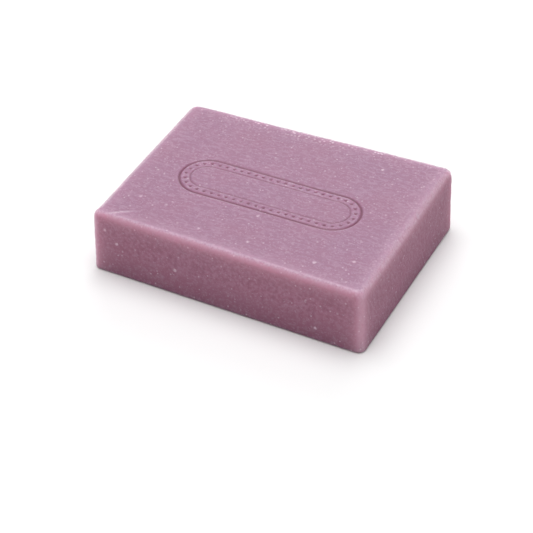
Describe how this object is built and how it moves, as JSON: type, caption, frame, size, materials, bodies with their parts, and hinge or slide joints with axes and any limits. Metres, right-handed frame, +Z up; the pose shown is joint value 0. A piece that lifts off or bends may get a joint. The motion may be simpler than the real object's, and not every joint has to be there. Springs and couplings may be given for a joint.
{
  "type": "bar of soap",
  "caption": "Rectangular hand-cut bar of soap with eased edges and a plain beaded oval frame pressed into its top face.",
  "frame": {"origin": "centre of the base's bounding box, on the surface that the bar lies on", "axes": "+X along the bar's length towards its wider end, +Y across it from the front side to the thicker back side, +Z up out of the pressed top face"},
  "size_m": [0.08, 0.0614, 0.0209],
  "materials": {
    "soap": "satin"
  },
  "bodies": {
    "root": {"soap_bar": "soap"}
  },
  "joints": []
}
